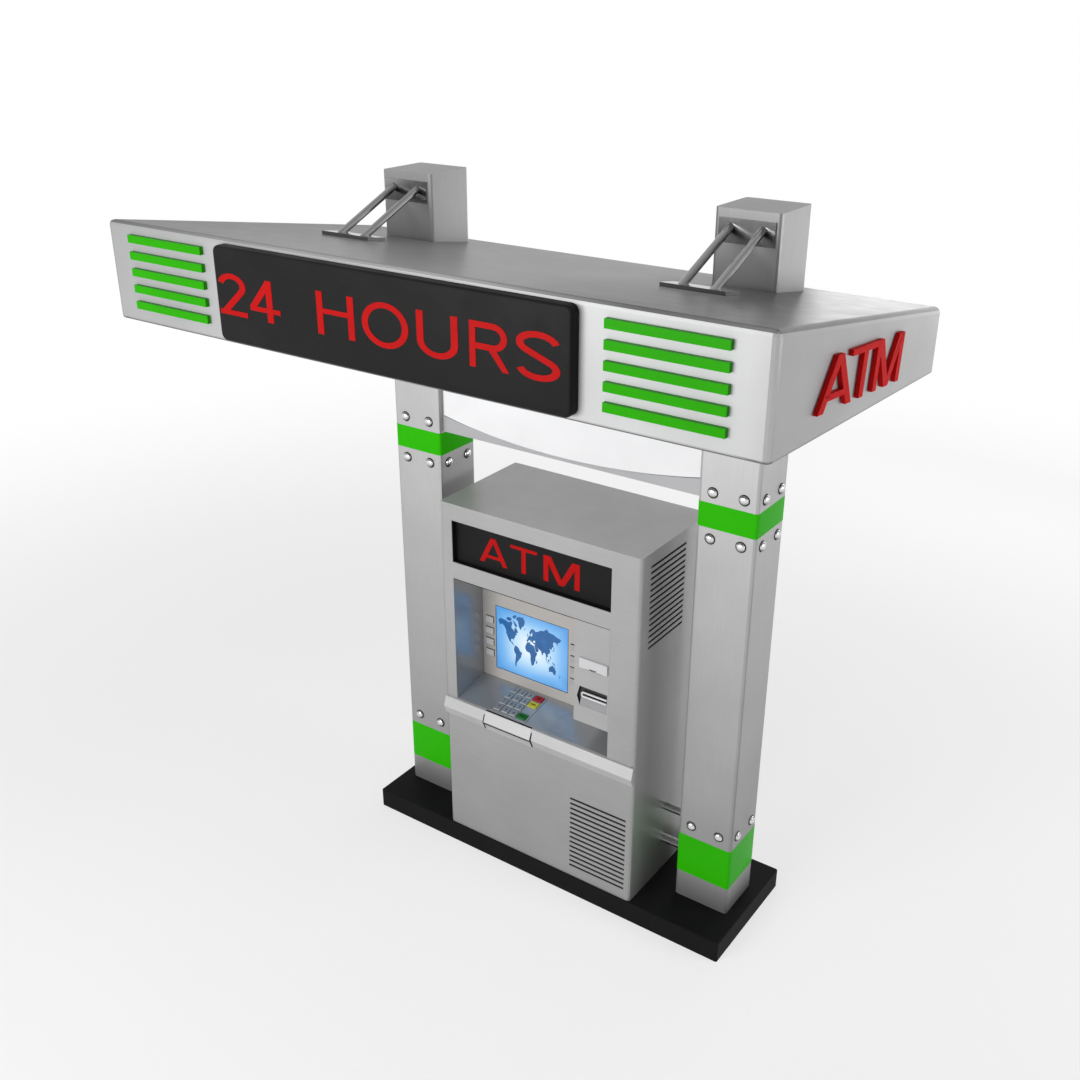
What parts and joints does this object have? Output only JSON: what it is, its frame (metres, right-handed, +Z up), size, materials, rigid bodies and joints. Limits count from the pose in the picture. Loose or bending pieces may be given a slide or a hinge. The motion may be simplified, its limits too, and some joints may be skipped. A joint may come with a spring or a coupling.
{
  "type": "cash machine kiosk",
  "caption": "Free-standing cash machine kiosk: canopy with light board on bolted columns, cabinet with sloped keypad, screen, card and receipt slots, cash tray flap, rear safe.",
  "frame": {"origin": "centre of the base plinth's footprint, on the floor", "axes": "+X to the right as the user sees it, -Y towards the user (front), +Z up"},
  "size_m": [2.2954, 1.23, 2.618],
  "materials": {
    "black_base": "satin black paint",
    "ballast": "raw",
    "satin_steel": "satin silver",
    "column_liner": "bright bolts",
    "canopy_skin": "pale silver paint",
    "canopy_soffit": "pale silver paint",
    "canopy_frame": "mill",
    "led_panel": "dark LED board",
    "green_bars": "gloss green",
    "rod_steel": "polished",
    "banner": "gloss white",
    "tie_steel": "polished",
    "safe_steel": "dark grey",
    "handle_chrome": "polished",
    "cassette": "dark grey",
    "dispenser": "dark grey",
    "computer_case": "grey",
    "sign_box": "black",
    "bezel": "warm grey",
    "screen_glass": "lit display behind glass",
    "fdk_button": "satin",
    "keypad_plate": "satin",
    "metal_key": "satin",
    "red_key": "red",
    "yellow_key": "yellow",
    "green_key": "green",
    "module_steel": "satin silver",
    "printer": "light grey",
    "paper": "white paper",
    "reader": "dark grey",
    "ledge": "light silver",
    "flap": "light silver"
  },
  "bodies": {
    "kiosk": {"base_plinth": "black_base", "base_ballast": "ballast", "column_left": "satin_steel", "column_right": "satin_steel", "cabinet_body": "satin_steel", "front_fascia": "satin_steel", "column_liner_left": "column_liner", "column_liner_right": "column_liner", "canopy_shell": "canopy_skin", "canopy_soffit": "canopy_soffit", "canopy_frame": "canopy_frame", "led_sign": "led_panel", "grille_left": "green_bars", "grille_right": "green_bars", "rod_frame_left": "rod_steel", "rod_frame_right": "rod_steel", "banner_panel": "banner", "cabinet_tie_left": "tie_steel", "cabinet_tie_right": "tie_steel", "safe_body": "safe_steel", "cash_cassette": "cassette", "cash_dispenser": "dispenser", "computer": "computer_case", "atm_sign_box": "sign_box", "recess_surround": "bezel", "display_screen": "screen_glass", "keypad_frame": "keypad_plate", "service_module": "module_steel", "receipt_printer": "printer", "card_reader": "reader", "ledge_rail": "ledge"},
    "key_0": {"key_0": "metal_key"},
    "key_1": {"key_1": "metal_key"},
    "key_2": {"key_2": "metal_key"},
    "key_3": {"key_3": "metal_key"},
    "key_4": {"key_4": "metal_key"},
    "key_5": {"key_5": "metal_key"},
    "key_6": {"key_6": "metal_key"},
    "key_7": {"key_7": "metal_key"},
    "key_8": {"key_8": "metal_key"},
    "key_9": {"key_9": "metal_key"},
    "key_star": {"key_star": "metal_key"},
    "key_hash": {"key_hash": "metal_key"},
    "key_cancel": {"key_cancel": "red_key"},
    "key_clear": {"key_clear": "yellow_key"},
    "key_enter": {"key_enter": "green_key"},
    "fdk_left_1": {"fdk_left_1": "fdk_button"},
    "fdk_left_2": {"fdk_left_2": "fdk_button"},
    "fdk_left_3": {"fdk_left_3": "fdk_button"},
    "fdk_left_4": {"fdk_left_4": "fdk_button"},
    "fdk_right_1": {"fdk_right_1": "fdk_button"},
    "fdk_right_2": {"fdk_right_2": "fdk_button"},
    "fdk_right_3": {"fdk_right_3": "fdk_button"},
    "fdk_right_4": {"fdk_right_4": "fdk_button"},
    "cash_flap": {"cash_flap": "flap"},
    "service_door": {"service_door": "satin_steel"},
    "service_handle": {"service_handle": "handle_chrome"},
    "safe_door": {"safe_door": "safe_steel"},
    "safe_handle": {"safe_handle": "handle_chrome"},
    "paper_roll": {"paper_roll": "paper"}
  },
  "joints": [
    {"name": "key_0_press", "type": "slide", "parent": "kiosk", "child": "key_0", "axis": [0, 0.1764, -0.9843], "range_m": [0, 0.002], "stiffness_N_per_m": 300, "springref_m": -0.002},
    {"name": "key_1_press", "type": "slide", "parent": "kiosk", "child": "key_1", "axis": [0, 0.1764, -0.9843], "range_m": [0, 0.002], "stiffness_N_per_m": 300, "springref_m": -0.002},
    {"name": "key_2_press", "type": "slide", "parent": "kiosk", "child": "key_2", "axis": [0, 0.1764, -0.9843], "range_m": [0, 0.002], "stiffness_N_per_m": 300, "springref_m": -0.002},
    {"name": "key_3_press", "type": "slide", "parent": "kiosk", "child": "key_3", "axis": [0, 0.1764, -0.9843], "range_m": [0, 0.002], "stiffness_N_per_m": 300, "springref_m": -0.002},
    {"name": "key_4_press", "type": "slide", "parent": "kiosk", "child": "key_4", "axis": [0, 0.1764, -0.9843], "range_m": [0, 0.002], "stiffness_N_per_m": 300, "springref_m": -0.002},
    {"name": "key_5_press", "type": "slide", "parent": "kiosk", "child": "key_5", "axis": [0, 0.1764, -0.9843], "range_m": [0, 0.002], "stiffness_N_per_m": 300, "springref_m": -0.002},
    {"name": "key_6_press", "type": "slide", "parent": "kiosk", "child": "key_6", "axis": [0, 0.1764, -0.9843], "range_m": [0, 0.002], "stiffness_N_per_m": 300, "springref_m": -0.002},
    {"name": "key_7_press", "type": "slide", "parent": "kiosk", "child": "key_7", "axis": [0, 0.1764, -0.9843], "range_m": [0, 0.002], "stiffness_N_per_m": 300, "springref_m": -0.002},
    {"name": "key_8_press", "type": "slide", "parent": "kiosk", "child": "key_8", "axis": [0, 0.1764, -0.9843], "range_m": [0, 0.002], "stiffness_N_per_m": 300, "springref_m": -0.002},
    {"name": "key_9_press", "type": "slide", "parent": "kiosk", "child": "key_9", "axis": [0, 0.1764, -0.9843], "range_m": [0, 0.002], "stiffness_N_per_m": 300, "springref_m": -0.002},
    {"name": "key_star_press", "type": "slide", "parent": "kiosk", "child": "key_star", "axis": [0, 0.1764, -0.9843], "range_m": [0, 0.002], "stiffness_N_per_m": 300, "springref_m": -0.002},
    {"name": "key_hash_press", "type": "slide", "parent": "kiosk", "child": "key_hash", "axis": [0, 0.1764, -0.9843], "range_m": [0, 0.002], "stiffness_N_per_m": 300, "springref_m": -0.002},
    {"name": "key_cancel_press", "type": "slide", "parent": "kiosk", "child": "key_cancel", "axis": [0, 0.1764, -0.9843], "range_m": [0, 0.002], "stiffness_N_per_m": 300, "springref_m": -0.002},
    {"name": "key_clear_press", "type": "slide", "parent": "kiosk", "child": "key_clear", "axis": [0, 0.1764, -0.9843], "range_m": [0, 0.002], "stiffness_N_per_m": 300, "springref_m": -0.002},
    {"name": "key_enter_press", "type": "slide", "parent": "kiosk", "child": "key_enter", "axis": [0, 0.1764, -0.9843], "range_m": [0, 0.002], "stiffness_N_per_m": 300, "springref_m": -0.002},
    {"name": "fdk_left_1_press", "type": "slide", "parent": "kiosk", "child": "fdk_left_1", "axis": [0, 1, 0], "range_m": [0, 0.002], "stiffness_N_per_m": 300, "springref_m": -0.002},
    {"name": "fdk_left_2_press", "type": "slide", "parent": "kiosk", "child": "fdk_left_2", "axis": [0, 1, 0], "range_m": [0, 0.002], "stiffness_N_per_m": 300, "springref_m": -0.002},
    {"name": "fdk_left_3_press", "type": "slide", "parent": "kiosk", "child": "fdk_left_3", "axis": [0, 1, 0], "range_m": [0, 0.002], "stiffness_N_per_m": 300, "springref_m": -0.002},
    {"name": "fdk_left_4_press", "type": "slide", "parent": "kiosk", "child": "fdk_left_4", "axis": [0, 1, 0], "range_m": [0, 0.002], "stiffness_N_per_m": 300, "springref_m": -0.002},
    {"name": "fdk_right_1_press", "type": "slide", "parent": "kiosk", "child": "fdk_right_1", "axis": [0, 1, 0], "range_m": [0, 0.002], "stiffness_N_per_m": 300, "springref_m": -0.002},
    {"name": "fdk_right_2_press", "type": "slide", "parent": "kiosk", "child": "fdk_right_2", "axis": [0, 1, 0], "range_m": [0, 0.002], "stiffness_N_per_m": 300, "springref_m": -0.002},
    {"name": "fdk_right_3_press", "type": "slide", "parent": "kiosk", "child": "fdk_right_3", "axis": [0, 1, 0], "range_m": [0, 0.002], "stiffness_N_per_m": 300, "springref_m": -0.002},
    {"name": "fdk_right_4_press", "type": "slide", "parent": "kiosk", "child": "fdk_right_4", "axis": [0, 1, 0], "range_m": [0, 0.002], "stiffness_N_per_m": 300, "springref_m": -0.002},
    {"name": "cash_flap_hinge", "type": "hinge", "parent": "kiosk", "child": "cash_flap", "pos_m": [-0.123, -0.247, 0.608], "axis": [1, 0, 0], "range_deg": [0, 60], "stiffness_Nm_per_rad": 0.6, "springref_deg": -57.3},
    {"name": "service_door_hinge", "type": "hinge", "parent": "kiosk", "child": "service_door", "pos_m": [0.385, 0.229, 1.0525], "axis": [0, 0, -1], "range_deg": [0, 110]},
    {"name": "safe_door_hinge", "type": "hinge", "parent": "kiosk", "child": "safe_door", "pos_m": [0.385, 0.229, 0.3425], "axis": [0, 0, -1], "range_deg": [0, 110]},
    {"name": "service_handle_turn", "type": "hinge", "parent": "service_door", "child": "service_handle", "pos_m": [-0.3, 0.2215, 1.0525], "axis": [0, -1, 0], "range_deg": [0, 90]},
    {"name": "safe_handle_turn", "type": "hinge", "parent": "safe_door", "child": "safe_handle", "pos_m": [-0.3, 0.2215, 0.3425], "axis": [0, -1, 0], "range_deg": [0, 90]},
    {"name": "paper_roll_spin", "type": "hinge", "parent": "kiosk", "child": "paper_roll", "pos_m": [0.23865, -0.16, 1.135], "axis": [1, 0, 0], "continuous": true}
  ]
}
